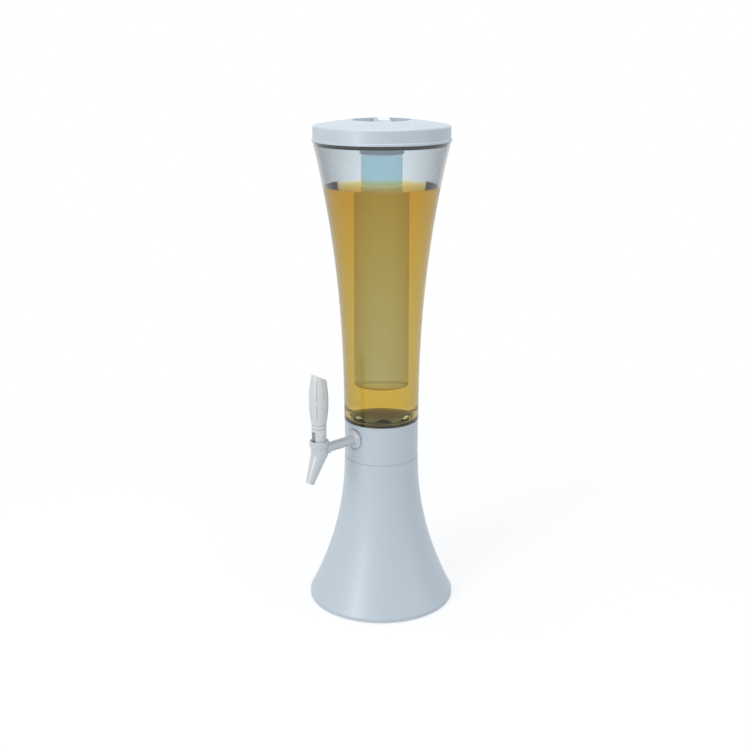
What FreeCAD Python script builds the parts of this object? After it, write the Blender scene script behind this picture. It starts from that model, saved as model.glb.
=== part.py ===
import FreeCAD, Part
import math
import os

# Drink tower with a chilled core, a lever tap and a lift-off lid.
# Millimetres, +Z up, the tap points along -Y, the origin is on the table under the tower's axis.

# Outline of the tower
SEAM_HEIGHT = 208.0  # table to the joint between base and collar
COLLAR_HEIGHT = 52.5
TANK_HEIGHT = 371.3  # collar's top edge to the tank's mouth
FOOT_RADIUS = 100.0
NECK_RADIUS = 50.3
COLLAR_RADIUS = 50.0
TANK_FOOT_RADIUS = 50.65
MOUTH_RADIUS = 88.9
BASE_FLARE = 2.05  # power of the curve that widens towards the table
TANK_FLARE = 2.3  # power of the curve that widens towards the mouth
CURVE_STATIONS = 9

# Gaps between pieces
LOOSE_GAP = 0.3  # round faces that pass each other
SNUG_GAP = 0.15  # pieces that plug or screw into each other
RUNNING_GAP = 0.05  # a pin or rod that turns or slides in its hole

# Base
SHELL_WALL = 3.0
SHELL_LIFT = 1.5  # shell's edge above the table
RIM_HEIGHT = 4.5  # upright rim under the flare
SEAM_GROOVE = 0.8
LEDGE_DROP = 17.0  # seam down to the top of the ledge inside the neck
LEDGE_THICKNESS = 3.0
PAD_RADIUS = 92.0
PAD_THICKNESS = 2.0
PLATE_THICKNESS = 3.0
POST_CIRCLE = 80.0
POST_RADIUS = 4.5
PLATE_SCREWS = 4
SCREW_RADIUS = 1.5
SCREW_HEAD_RADIUS = 3.0
SCREW_HEAD_HEIGHT = 1.8
SCREW_LENGTH = 11.0

# Quarter-turn lock between base and collar
SPIGOT_RADIUS = 41.5
SPIGOT_WALL = 3.0
LUG_COUNT = 3
LUG_REACH = 2.9
LUG_HEIGHT = 3.4
LUG_WIDTH_DEG = 24.0
LUG_DROP = 5.3  # seam down to the top of a lug
UNLOCK_DEG = 40.0
LOCK_SIDE_DEG = 2.0  # free angle on each side of a lug
LOCK_FLANGE = 3.5
RING_SCREWS = 3

# Collar
COLLAR_WALL = 3.0
COLLAR_WEB = 3.0
DECK_THICKNESS = 3.0
SHANK_DROP = 20.2  # collar's top edge down to the shank's axis
SPOT_RADIUS = 15.0
SPOT_DISTANCE = 48.6  # tower's axis to the flat that the rosette sits on
INNER_BOSS_RADIUS = 11.5
INNER_BOSS_DISTANCE = 44.0

# Tank
TANK_WALL = 3.0
FLOOR_THICKNESS = 3.0
OUTLET_RADIUS = 10.0
OUTLET_WALL = 3.0
OUTLET_LENGTH = 14.0
O_RING = 2.4
GASKET_THICKNESS = 1.0
GASKET_RADIUS = 20.0
RING_NUT_WIDTH = 36.0
RING_NUT_THICKNESS = 4.5

# Strainer over the tank's outlet
STRAINER_RADIUS = 32.0
STRAINER_HEIGHT = 12.8
STRAINER_CROWN_RADIUS = 62.0  # sphere that its top is part of
STRAINER_SHOULDER = 6.5
STRAINER_WALL = 2.0
ARCH_COUNT = 6
ARCH_WIDTH = 21.0
ARCH_HEIGHT = 5.0
ARCH_TURN_DEG = 51.0

# Drain cup under the tank
CUP_WALL = 3.0
CUP_OVERLAP = 6.0  # how far the cup reaches up the tank's spigot
CUP_DEPTH = 5.4  # shank's axis down to the cup's floor
SOCKET_LENGTH = 14.0
SOCKET_WALL = 3.2

# Shank and its fixings
SHANK_RADIUS = 6.6
SHANK_BORE = 3.5
SHANK_START = 17.0  # tower's axis to the shank's inner end
ROSETTE_RADIUS = 12.65
ROSETTE_EDGE = 0.8
ROSETTE_NECK_WALL = 0.6
WASHER_THICKNESS = 1.0
WASHER_RADIUS = 11.6
NUT_WIDTH = 19.0
NUT_THICKNESS = 5.0

# Tap
TAP_REACH = 111.5  # tower's axis to the tap's axis
CHAMBER_RADIUS = 9.0
TAP_WALL = 2.4
SHANK_BOSS_RADIUS = 8.0
SHANK_BOSS_REACH = 15.1  # tap's axis back to the boss's face
SHANK_ENGAGED = 4.1
BODY_RISE = 8.6  # shank's axis up to the body's top face
LIP_HEIGHT = 2.4
LIP_TAPER = 3.5  # height over which the lip narrows into the barrel
COUNTERBORE_DEPTH = 3.9
COUNTERBORE_STEP = 1.0
SEAT_DROP = 7.8  # shank's axis down to the chamber's floor
SEAT_RADIUS = 4.4
SEAT_RIDGE = 0.7
SEAT_RIDGE_WIDTH = 1.0
SPOUT_LEAN_DEG = 23.9
SPOUT_LENGTH = 42.0
SPOUT_TOP_RADIUS = 11.0
SPOUT_TIP_RADIUS = 5.5
SPOUT_BORE = 3.8
SPOUT_ROOT_DROP = 4.6  # shank's axis down to the point where the spout's axis starts

# Bonnet
BONNET_RADIUS = 12.75
BONNET_HEIGHT = 4.7
BONNET_WALL = 1.75
BONNET_FLOOR = 2.0
BONNET_FLOOR_LIFT = 1.0  # body's top face up to the underside of the bonnet's floor
PLUG_WALL = 2.1

# Valve
STEM_RADIUS = 2.6
KNOB_RADIUS = 3.6
KNOB_HEIGHT = 2.0
KNOB_LIFT = 1.4  # underside of the seat cup up to the knob
STEM_FLANGE_RADIUS = 5.8
STEM_FLANGE_THICKNESS = 1.0
STEM_FLANGE_LIFT = 5.8  # underside of the seat cup up to the flange
CUP_PLUG_RADIUS = 7.0
CUP_PLUG_HEIGHT = 4.8
CUP_SKIN = 1.0
SPRING_WIRE = 0.8
SPRING_RADIUS = 4.3
SPRING_TURNS = 4

# Handle
HANDLE_LENGTH = 91.0  # foot to the high edge of the slanted top
NECK_BAR_RADIUS = 9.7
PIVOT_LIFT = 8.0  # foot up to the pivot pin
CAM_RATE = 3.6  # stem lift per radian of pull
PULL_DEG = 40.0
FORK_SLOT = 7.0
FORK_SLOT_HEIGHT = 14.6
TONGUE_RADIUS = 5.0
TONGUE_WIDTH = 8.4
TONGUE_DROP = 6.8  # pivot down to the tongue's shoulder
PIN_RADIUS = 1.5
PIN_LENGTH = 19.2
WAIST_HEIGHT = 18.0
WAIST_DEPTH = 0.9
WAIST_LENGTH = 1.2
BAND_LENGTH = 4.2
GRIP_RADIUS = 12.75
GRIP_CURVE = 165.0  # radius of the grip's barrel curve
GRIP_WIDEST = 54.8  # foot up to the widest place
FLUTE_COUNT = 8
FLUTE_RADIUS = 2.2
FLUTE_DEPTH = 1.3
FLUTE_STARTS = (31.0, 58.0)
FLUTE_LENGTHS = (19.0, 26.0)
TOP_SLANT_DEG = 30.0

# Lid
LID_RADIUS = 88.4
LID_LIP = 1.3
LID_LIP_HEIGHT = 2.2
LID_SIDE = 17.2  # tank's mouth up to the lid's rounded shoulder
LID_SHOULDER = 2.4
LID_CROWN = 8.2
LID_WALL = 2.4
WELL_RADIUS = 38.0
WELL_DEPTH = 9.0
BAR_WIDTH = 14.0
BAR_RISE = 2.0  # how far the grip bar stands above the crown
LID_TURN_DEG = 54.0
LINER_THICKNESS = 2.5
LINER_DROP = 5.3  # mouth down to the liner's underside
LINER_FLANGE = 2.4
LINER_FLANGE_RADIUS = 87.4
PLUG_RADIUS = 82.0
GASKET_HEIGHT = 4.4
GASKET_DROP = 0.2

# Ice tube
TUBE_RADIUS = 26.8
TUBE_WALL = 2.0
TUBE_LENGTH = 317.5
TUBE_TOP_GAP = 1.0
TUBE_CORNER = 5.0
SOCKET_RING_WALL = 1.7
SOCKET_RING_HEIGHT = 10.5
TUBE_SEAL_SIZE = 1.6
TUBE_SEAL_DROP = 5.0

# Places worked out from the sizes above
collar_top = SEAM_HEIGHT + COLLAR_HEIGHT
mouth_top = collar_top + TANK_HEIGHT
shank_z = collar_top - SHANK_DROP
floor_top = collar_top + FLOOR_THICKNESS
outlet_outer = OUTLET_RADIUS + OUTLET_WALL
outlet_low = collar_top - OUTLET_LENGTH
body_top = shank_z + BODY_RISE
barrel_radius = CHAMBER_RADIUS + TAP_WALL
counterbore = CHAMBER_RADIUS + COUNTERBORE_STEP
cup_flange_z = body_top - COUNTERBORE_DEPTH
cup_bottom = shank_z - SEAT_DROP + SEAT_RIDGE
bonnet_ceiling = body_top + BONNET_FLOOR_LIFT
bonnet_floor_top = bonnet_ceiling + BONNET_FLOOR
foot_z = bonnet_floor_top + LOOSE_GAP
pivot_z = foot_z + PIVOT_LIFT
plate_top = PAD_THICKNESS + PLATE_THICKNESS
ledge_top = SEAM_HEIGHT - LEDGE_DROP
liner_bottom = mouth_top - LINER_DROP


def vec(x, y, z):
    return FreeCAD.Vector(x, y, z)


UP = vec(0, 0, 1)
ORIGIN = vec(0, 0, 0)
OUTWARD = vec(0, -1, 0)


def arc(centre, radius, start_deg, end_deg):
    """Three points of a round stretch in the radius and height plane."""
    points = []
    for angle in (start_deg, (start_deg + end_deg) / 2, end_deg):
        turn = math.radians(angle)
        points.append((centre[0] + radius * math.cos(turn), centre[1] + radius * math.sin(turn)))
    return ("arc", points)


def outline(path):
    """Closed wire from corners (r, z), arcs and smooth curves, taken in order."""
    edges = []
    first = None
    last = None
    for item in path:
        kind, run = item if isinstance(item[0], str) else ("corner", [item])
        points = [vec(r, 0, z) for r, z in run]
        if first is None:
            first = points[0]
        elif last.distanceToPoint(points[0]) > 1e-6:
            edges.append(Part.LineSegment(last, points[0]).toShape())
        if kind == "arc":
            edges.append(Part.Arc(*points).toShape())
        if kind == "curve":
            curve = Part.BSplineCurve()
            curve.interpolate(points)
            edges.append(curve.toShape())
        last = points[-1]
    if last.distanceToPoint(first) > 1e-6:
        edges.append(Part.LineSegment(last, first).toShape())
    return Part.Wire(edges)


def turned(path, sweep_deg=360.0, start_deg=0.0):
    """Solid turned about the tower's axis from an outline."""
    solid = Part.Face(outline(path)).revolve(ORIGIN, UP, sweep_deg)
    solid.rotate(ORIGIN, UP, start_deg)
    return solid


def ring(inner, outer, low, high):
    return turned([(inner, low), (outer, low), (outer, high), (inner, high)])


def rod(radius, start, end):
    """Round bar between two points."""
    return Part.makeCylinder(radius, (end - start).Length, start, end - start)


def at_tap(shape):
    """Moves a piece made on the tower's axis to the tap's axis."""
    moved = shape.copy()
    moved.translate(OUTWARD * TAP_REACH)
    return moved


def along_shank(radius, start, end):
    """Round bar on the shank's axis, between two distances from the tower's axis."""
    return rod(radius, vec(0, -start, shank_z), vec(0, -end, shank_z))


def spread(shape, count, first_deg=0.0):
    """Copies of a shape, evenly spaced about the tower's axis."""
    copies = []
    for index in range(count):
        copy = shape.copy()
        copy.rotate(ORIGIN, UP, first_deg + index * 360.0 / count)
        copies.append(copy)
    return copies


def joined(shapes):
    return shapes[0].multiFuse(shapes[1:]).removeSplitter()


def base_radius(z):
    """Outside of the base at a height."""
    low = SHELL_LIFT + RIM_HEIGHT
    share = (SEAM_HEIGHT - z) / (SEAM_HEIGHT - low)
    return NECK_RADIUS + (FOOT_RADIUS - NECK_RADIUS) * share**BASE_FLARE


def tank_radius(z):
    """Outside of the tank at a height."""
    share = max(0.0, (z - collar_top) / TANK_HEIGHT)
    return TANK_FOOT_RADIUS + (MOUTH_RADIUS - TANK_FOOT_RADIUS) * share**TANK_FLARE


def curve(radius_at, low, high, inset=0.0):
    """Smooth curve of a radius law between two heights, moved inwards by a wall."""
    points = []
    for index in range(CURVE_STATIONS):
        z = low + (high - low) * index / (CURVE_STATIONS - 1)
        points.append((radius_at(z) - inset, z))
    return ("curve", points)


def screw(x, y, head_z):
    """Countersunk screw that points up, with its head's face at head_z."""
    head = Part.makeCylinder(SCREW_HEAD_RADIUS, SCREW_HEAD_HEIGHT, vec(x, y, head_z))
    shank = Part.makeCylinder(SCREW_RADIUS, SCREW_LENGTH, vec(x, y, head_z))
    return head.fuse(shank).removeSplitter()


def screw_hole(x, y, head_z):
    head = Part.makeCylinder(SCREW_HEAD_RADIUS + SNUG_GAP, SCREW_HEAD_HEIGHT, vec(x, y, head_z))
    shank = Part.makeCylinder(SCREW_RADIUS + RUNNING_GAP, SCREW_LENGTH + LOOSE_GAP, vec(x, y, head_z))
    return head.fuse(shank)


def make_base_shell():
    rim_top = SHELL_LIFT + RIM_HEIGHT
    groove_z = SEAM_HEIGHT - SEAM_GROOVE
    ledge_low = ledge_top - LEDGE_THICKNESS
    ledge_inner = SPIGOT_RADIUS - SPIGOT_WALL
    outside = [
        (FOOT_RADIUS, SHELL_LIFT),
        curve(base_radius, rim_top, groove_z),
        (NECK_RADIUS - SEAM_GROOVE, groove_z),
        (NECK_RADIUS - SEAM_GROOVE, SEAM_HEIGHT),
    ]
    inside = [
        (NECK_RADIUS - SHELL_WALL, SEAM_HEIGHT),
        curve(base_radius, SEAM_HEIGHT, ledge_top, SHELL_WALL),
        (ledge_inner, ledge_top),
        (ledge_inner, ledge_low),
        curve(base_radius, ledge_low, rim_top, SHELL_WALL),
        (FOOT_RADIUS - SHELL_WALL, SHELL_LIFT),
    ]
    shell = turned(outside + inside)
    envelope = turned([(0, SHELL_LIFT)] + outside + [(0, SEAM_HEIGHT)])
    post = Part.makeCylinder(POST_RADIUS, SEAM_HEIGHT, vec(POST_CIRCLE, 0, plate_top))
    posts = [copy.common(envelope) for copy in spread(post, PLATE_SCREWS)]
    shell = joined([shell] + posts)
    plate_holes = spread(screw_hole(POST_CIRCLE, 0, PAD_THICKNESS), PLATE_SCREWS)
    ring_holes = spread(ring_screw_hole(), RING_SCREWS, ring_screw_start())
    for hole in plate_holes + ring_holes:
        shell = shell.cut(hole)
    return shell


def make_foot_pad():
    return ring(0, PAD_RADIUS, 0, PAD_THICKNESS)


def make_bottom_plate():
    plate = ring(0, FOOT_RADIUS - SHELL_WALL - LOOSE_GAP, PAD_THICKNESS, plate_top)
    for hole in spread(screw_hole(POST_CIRCLE, 0, PAD_THICKNESS), PLATE_SCREWS):
        plate = plate.cut(hole)
    return plate


def make_plate_screws():
    return Part.makeCompound(spread(screw(POST_CIRCLE, 0, PAD_THICKNESS), PLATE_SCREWS))


def lug_top():
    return SEAM_HEIGHT - LUG_DROP


def ring_screw_circle():
    return (SPIGOT_RADIUS + NECK_RADIUS - SHELL_WALL) / 2


def ring_screw_head_z():
    return ledge_top - LEDGE_THICKNESS - SCREW_HEAD_HEIGHT


def ring_screw_start():
    return LUG_WIDTH_DEG


def ring_screw_hole():
    return screw_hole(ring_screw_circle(), 0, ring_screw_head_z())


def make_ring_screws():
    one = screw(ring_screw_circle(), 0, ring_screw_head_z())
    return Part.makeCompound(spread(one, RING_SCREWS, ring_screw_start()))


def make_lock_ring():
    inner = SPIGOT_RADIUS + LOOSE_GAP
    outer = NECK_RADIUS - SHELL_WALL - SNUG_GAP
    lug_outer = SPIGOT_RADIUS + LUG_REACH + LOOSE_GAP
    groove_top = lug_top() + LOOSE_GAP
    groove_low = lug_top() - LUG_HEIGHT - LOOSE_GAP
    body = ring(inner, outer, ledge_top, groove_top + LOCK_FLANGE)
    entry_deg = LUG_WIDTH_DEG + 2 * LOCK_SIDE_DEG
    track = [
        (inner - 1, groove_low),
        (lug_outer, groove_low),
        (lug_outer, groove_top),
        (inner - 1, groove_top),
    ]
    start = -LUG_WIDTH_DEG / 2 - LOCK_SIDE_DEG
    tracks = spread(turned(track, entry_deg + UNLOCK_DEG, start), LUG_COUNT)
    high = groove_top + LOCK_FLANGE + 1
    entry = [(inner - 1, groove_low), (lug_outer, groove_low), (lug_outer, high), (inner - 1, high)]
    entries = spread(turned(entry, entry_deg, start + UNLOCK_DEG), LUG_COUNT)
    for cut in tracks + entries + spread(ring_screw_hole(), RING_SCREWS, ring_screw_start()):
        body = body.cut(cut)
    return body


def make_collar():
    inner = COLLAR_RADIUS - COLLAR_WALL
    spigot_inner = SPIGOT_RADIUS - SPIGOT_WALL
    spigot_low = lug_top() - LUG_HEIGHT
    shell = turned(
        [
            (spigot_inner, spigot_low),
            (SPIGOT_RADIUS, spigot_low),
            (SPIGOT_RADIUS, SEAM_HEIGHT),
            (COLLAR_RADIUS, SEAM_HEIGHT),
            (COLLAR_RADIUS, collar_top),
            (GASKET_RADIUS + SNUG_GAP, collar_top),
            (GASKET_RADIUS + SNUG_GAP, collar_top - GASKET_THICKNESS),
            (outlet_outer + SNUG_GAP, collar_top - GASKET_THICKNESS),
            (outlet_outer + SNUG_GAP, collar_top - DECK_THICKNESS),
            (inner, collar_top - DECK_THICKNESS),
            (inner, SEAM_HEIGHT + COLLAR_WEB),
            (spigot_inner, SEAM_HEIGHT + COLLAR_WEB),
        ]
    )
    lug_outer = SPIGOT_RADIUS + LUG_REACH
    lug_path = [
        (spigot_inner, spigot_low),
        (lug_outer, spigot_low),
        (lug_outer, lug_top()),
        (spigot_inner, lug_top()),
    ]
    lugs = spread(turned(lug_path, LUG_WIDTH_DEG, -LUG_WIDTH_DEG / 2), LUG_COUNT)
    boss = along_shank(INNER_BOSS_RADIUS, INNER_BOSS_DISTANCE, COLLAR_RADIUS)
    boss = boss.common(ring(0, COLLAR_RADIUS, SEAM_HEIGHT, collar_top))
    shell = joined([shell, boss] + lugs)
    shell = shell.cut(along_shank(SPOT_RADIUS, SPOT_DISTANCE, COLLAR_RADIUS + SPOT_RADIUS))
    return shell.cut(along_shank(SHANK_RADIUS + SNUG_GAP, 0, COLLAR_RADIUS + SPOT_RADIUS))


def seat_radius():
    """Inside of the tank's foot, where the floor is welded in."""
    return tank_radius(floor_top) - TANK_WALL


def make_tank():
    """Open trumpet wall; its foot has a straight seat for the floor."""
    return turned(
        [
            (seat_radius(), collar_top),
            (TANK_FOOT_RADIUS, collar_top),
            curve(tank_radius, collar_top, mouth_top),
            (MOUTH_RADIUS - TANK_WALL, mouth_top),
            curve(tank_radius, mouth_top, floor_top, TANK_WALL),
        ]
    )


def make_tank_floor():
    """Disc welded into the tank's foot, with the outlet under it."""
    seal_z = drain_seal_z()
    return turned(
        [
            (OUTLET_RADIUS, outlet_low),
            (outlet_outer, outlet_low),
            (outlet_outer, seal_z),
            (outlet_outer - O_RING / 2, seal_z),
            (outlet_outer - O_RING / 2, seal_z + O_RING),
            (outlet_outer, seal_z + O_RING),
            (outlet_outer, collar_top),
            (seat_radius(), collar_top),
            (seat_radius(), floor_top),
            (OUTLET_RADIUS, floor_top),
        ]
    )


def drain_seal_z():
    return outlet_low + CUP_OVERLAP / 2 - O_RING / 2


def make_tank_gasket():
    return ring(outlet_outer, GASKET_RADIUS, collar_top - GASKET_THICKNESS, collar_top)


def hex_block(width, centre, thickness_vector):
    """Six-sided block; its thickness vector says which way it grows from the centre."""
    block = []
    axis = FreeCAD.Vector(thickness_vector).normalize()
    across = axis.cross(vec(1, 0, 0))
    for index in range(7):
        turn = math.radians(30 + 60 * index)
        reach = width / math.sqrt(3)
        block.append(centre + vec(1, 0, 0) * (reach * math.cos(turn)) + across * (reach * math.sin(turn)))
    return Part.Face(Part.makePolygon(block)).extrude(thickness_vector)


def make_ring_nut():
    top = collar_top - DECK_THICKNESS
    block = hex_block(RING_NUT_WIDTH, vec(0, 0, top), vec(0, 0, -RING_NUT_THICKNESS))
    return block.cut(ring(0, outlet_outer + RUNNING_GAP, 0, top))


def make_drain_seal():
    return ring(outlet_outer - O_RING / 2, outlet_outer + SNUG_GAP, drain_seal_z(), drain_seal_z() + O_RING)


def make_strainer():
    """Shallow dome with arches round its foot; its shoulder is tangent to the crown and the side."""
    crown_z = floor_top + STRAINER_HEIGHT - STRAINER_CROWN_RADIUS
    shoulder_r = STRAINER_RADIUS - STRAINER_SHOULDER
    reach = STRAINER_CROWN_RADIUS - STRAINER_SHOULDER
    shoulder_z = crown_z + math.sqrt(reach * reach - shoulder_r * shoulder_r)
    meet_deg = math.degrees(math.acos(shoulder_r / reach))
    shell = turned(
        [
            (STRAINER_RADIUS - STRAINER_WALL, floor_top),
            (STRAINER_RADIUS, floor_top),
            arc((shoulder_r, shoulder_z), STRAINER_SHOULDER, 0, meet_deg),
            arc((0, crown_z), STRAINER_CROWN_RADIUS, meet_deg, 90),
            arc((0, crown_z), STRAINER_CROWN_RADIUS - STRAINER_WALL, 90, meet_deg),
            arc((shoulder_r, shoulder_z), STRAINER_SHOULDER - STRAINER_WALL, meet_deg, 0),
        ]
    )
    half = ARCH_WIDTH / 2
    arch = Part.Face(
        Part.Wire(
            [
                Part.LineSegment(vec(-half, 0, 0), vec(half, 0, 0)).toShape(),
                Part.Arc(vec(half, 0, 0), vec(0, 0, ARCH_HEIGHT), vec(-half, 0, 0)).toShape(),
            ]
        )
    )
    arch = arch.extrude(OUTWARD * 2 * STRAINER_RADIUS)
    arch.translate(vec(0, 0, floor_top))
    for cut in spread(arch, ARCH_COUNT, ARCH_TURN_DEG):
        shell = shell.cut(cut)
    return shell


def make_drain_cup():
    bore = outlet_outer + SNUG_GAP
    chamber_low = shank_z - CUP_DEPTH
    body = ring(0, bore + CUP_WALL, chamber_low - CUP_WALL, outlet_low + CUP_OVERLAP)
    shank_hole = SHANK_RADIUS + SNUG_GAP
    arm_end = bore + SOCKET_LENGTH
    body = body.fuse(along_shank(shank_hole + SOCKET_WALL, 0, arm_end))
    body = body.cut(ring(0, bore, outlet_low, outlet_low + 2 * CUP_OVERLAP))
    body = body.cut(ring(0, OUTLET_RADIUS, chamber_low, outlet_low))
    body = body.cut(along_shank(shank_hole, SHANK_START - LOOSE_GAP, arm_end))
    body = body.cut(along_shank(SHANK_BORE, 0, SHANK_START))
    groove = along_shank(SHANK_RADIUS + O_RING / 2, shank_seal_place(), shank_seal_place() + O_RING)
    return body.cut(groove).removeSplitter()


def shank_seal_place():
    """Distance from the tower's axis to the near side of the seal round the shank's tail."""
    return outlet_outer + SOCKET_LENGTH / 2


def make_shank_seal():
    place = shank_seal_place()
    outer = along_shank(SHANK_RADIUS + O_RING / 2, place, place + O_RING)
    return outer.cut(along_shank(SHANK_RADIUS, place, place + O_RING))


def shank_end():
    return TAP_REACH - SHANK_BOSS_REACH + SHANK_ENGAGED


def make_shank():
    tube = along_shank(SHANK_RADIUS, SHANK_START, shank_end())
    return tube.cut(along_shank(SHANK_BORE, 0, TAP_REACH))


def washer(radius, start, end):
    plate = along_shank(radius, start, end)
    return plate.cut(along_shank(SHANK_RADIUS + RUNNING_GAP, start, end))


def make_rosette_gasket():
    return washer(WASHER_RADIUS, SPOT_DISTANCE, SPOT_DISTANCE + WASHER_THICKNESS)


def make_rosette():
    """Flange that flares from the shank to the collar's flat in a hollow quarter round."""
    hole = SHANK_RADIUS + RUNNING_GAP
    start = SPOT_DISTANCE + WASHER_THICKNESS
    flare = ROSETTE_RADIUS - hole - ROSETTE_NECK_WALL
    flange = turned(
        [
            (hole, start),
            (ROSETTE_RADIUS, start),
            arc((ROSETTE_RADIUS, start + ROSETTE_EDGE + flare), flare, -90, -180),
            (hole, start + ROSETTE_EDGE + flare),
        ]
    )
    flange.rotate(ORIGIN, vec(1, 0, 0), 90)
    flange.translate(vec(0, 0, shank_z))
    return flange


def make_inner_washer():
    return washer(WASHER_RADIUS - 1, INNER_BOSS_DISTANCE - WASHER_THICKNESS, INNER_BOSS_DISTANCE)


def make_shank_nut():
    end = INNER_BOSS_DISTANCE - WASHER_THICKNESS
    block = hex_block(NUT_WIDTH, vec(0, -end, shank_z), vec(0, NUT_THICKNESS, 0))
    return block.cut(along_shank(SHANK_RADIUS + RUNNING_GAP, 0, TAP_REACH))


def spout_axis():
    lean = math.radians(SPOUT_LEAN_DEG)
    return vec(0, -math.sin(lean), -math.cos(lean))


def make_tap_body():
    root = vec(0, -TAP_REACH, shank_z - SPOUT_ROOT_DROP)
    lip_low = body_top - LIP_HEIGHT
    chamber_low = shank_z - SEAT_DROP
    barrel = at_tap(
        turned(
            [
                (0, root.z),
                (barrel_radius, root.z),
                (barrel_radius, lip_low - LIP_TAPER),
                (BONNET_RADIUS, lip_low),
                (BONNET_RADIUS, body_top),
                (0, body_top),
            ]
        )
    )
    elbow = Part.makeSphere(barrel_radius, root)
    spout = Part.makeCone(SPOUT_TOP_RADIUS, SPOUT_TIP_RADIUS, SPOUT_LENGTH, root, spout_axis())
    boss = along_shank(SHANK_BOSS_RADIUS, TAP_REACH - SHANK_BOSS_REACH, TAP_REACH)
    body = joined([barrel, elbow, spout, boss])
    hollows = [
        at_tap(ring(0, CHAMBER_RADIUS, chamber_low, body_top)),
        at_tap(ring(0, counterbore, cup_flange_z, body_top)),
        at_tap(ring(0, SEAT_RADIUS, root.z - 2 * SEAT_RADIUS, chamber_low)),
        rod(SPOUT_BORE, root + spout_axis() * SPOUT_TOP_RADIUS / 2, root + spout_axis() * 2 * SPOUT_LENGTH),
        along_shank(SHANK_RADIUS + RUNNING_GAP, 0, shank_end()),
        along_shank(SHANK_BORE, 0, TAP_REACH),
    ]
    for hollow in hollows:
        body = body.cut(hollow)
    ridge_radius = SEAT_RADIUS + SEAT_RIDGE_WIDTH
    ridge = ring(SEAT_RADIUS, ridge_radius, chamber_low - SEAT_RIDGE, chamber_low + SEAT_RIDGE)
    return body.fuse(at_tap(ridge)).removeSplitter()


def make_bonnet():
    plug = counterbore - SNUG_GAP
    plug_low = cup_flange_z + CUP_SKIN
    top = body_top + BONNET_HEIGHT
    rim_inner = BONNET_RADIUS - BONNET_WALL
    hole = STEM_RADIUS + RUNNING_GAP
    round_edge = BONNET_WALL / 2
    return at_tap(
        turned(
            [
                (hole, bonnet_ceiling),
                (plug - PLUG_WALL, bonnet_ceiling),
                (plug - PLUG_WALL, plug_low),
                (plug, plug_low),
                (plug, body_top),
                (BONNET_RADIUS, body_top),
                arc((BONNET_RADIUS - round_edge, top - round_edge), round_edge, 0, 90),
                (rim_inner, top),
                (rim_inner, bonnet_floor_top),
                (hole, bonnet_floor_top),
            ]
        )
    )


def make_seat_cup():
    flange_top = cup_flange_z + CUP_SKIN
    flange = counterbore - SNUG_GAP
    skin_inner = CUP_PLUG_RADIUS - CUP_SKIN / 2
    plug_top = cup_bottom + CUP_PLUG_HEIGHT
    knob_low = cup_bottom + KNOB_LIFT - RUNNING_GAP
    knob_top = cup_bottom + KNOB_LIFT + KNOB_HEIGHT + RUNNING_GAP
    return at_tap(
        turned(
            [
                (0, cup_bottom),
                (CUP_PLUG_RADIUS, cup_bottom),
                (CUP_PLUG_RADIUS, plug_top),
                (skin_inner + CUP_SKIN, plug_top),
                (skin_inner + CUP_SKIN, cup_flange_z),
                (flange, cup_flange_z),
                (flange, flange_top),
                (skin_inner, flange_top),
                (skin_inner, plug_top),
                (STEM_RADIUS + RUNNING_GAP, plug_top),
                (STEM_RADIUS + RUNNING_GAP, knob_top),
                (KNOB_RADIUS + RUNNING_GAP, knob_top),
                (KNOB_RADIUS + RUNNING_GAP, knob_low),
                (0, knob_low),
            ]
        )
    )


def make_valve_stem():
    knob_low = cup_bottom + KNOB_LIFT
    flange_low = cup_bottom + STEM_FLANGE_LIFT
    shoulder = pivot_z - TONGUE_DROP
    stem = turned(
        [
            (0, knob_low),
            (KNOB_RADIUS, knob_low),
            (KNOB_RADIUS, knob_low + KNOB_HEIGHT),
            (STEM_RADIUS, knob_low + KNOB_HEIGHT),
            (STEM_RADIUS, flange_low),
            (STEM_FLANGE_RADIUS, flange_low),
            (STEM_FLANGE_RADIUS, flange_low + STEM_FLANGE_THICKNESS),
            (STEM_RADIUS, flange_low + STEM_FLANGE_THICKNESS),
            (STEM_RADIUS, shoulder + 1),
            (0, shoulder + 1),
        ]
    )
    thickness = FORK_SLOT - 2 * LOOSE_GAP
    head = rod(TONGUE_RADIUS, vec(-thickness / 2, 0, pivot_z), vec(thickness / 2, 0, pivot_z))
    stalk_corner = vec(-thickness / 2, -TONGUE_WIDTH / 2, shoulder)
    stalk = Part.makeBox(thickness, TONGUE_WIDTH, TONGUE_DROP, stalk_corner)
    tongue = head.fuse(stalk)
    pin_hole = rod(PIN_RADIUS, vec(-PIN_LENGTH, 0, pivot_z), vec(PIN_LENGTH, 0, pivot_z))
    return at_tap(joined([stem, tongue]).cut(pin_hole))


def make_pivot_pin():
    return at_tap(rod(PIN_RADIUS, vec(-PIN_LENGTH / 2, 0, pivot_z), vec(PIN_LENGTH / 2, 0, pivot_z)))


def make_valve_spring():
    """Coil of tangent arcs, a half turn each, between the stem's flange and the bonnet."""
    low = cup_bottom + STEM_FLANGE_LIFT + STEM_FLANGE_THICKNESS + SPRING_WIRE / 2
    high = bonnet_ceiling - SPRING_WIRE / 2
    pitch = (high - low) / SPRING_TURNS
    quarters = 4 * SPRING_TURNS
    spots = []
    for index in range(2 * quarters + 1):
        turn = math.pi / 4 * index
        height = low + pitch * index / 8
        spots.append(vec(SPRING_RADIUS * math.cos(turn), SPRING_RADIUS * math.sin(turn), height))
    edges = []
    for index in range(quarters):
        edges.append(Part.Arc(*spots[2 * index : 2 * index + 3]).toShape())
    path = Part.Wire(edges)
    section = Part.Wire(Part.Circle(spots[0], path.Edges[0].tangentAt(0), SPRING_WIRE / 2).toShape())
    return at_tap(path.makePipeShell([section], True, True))


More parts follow.
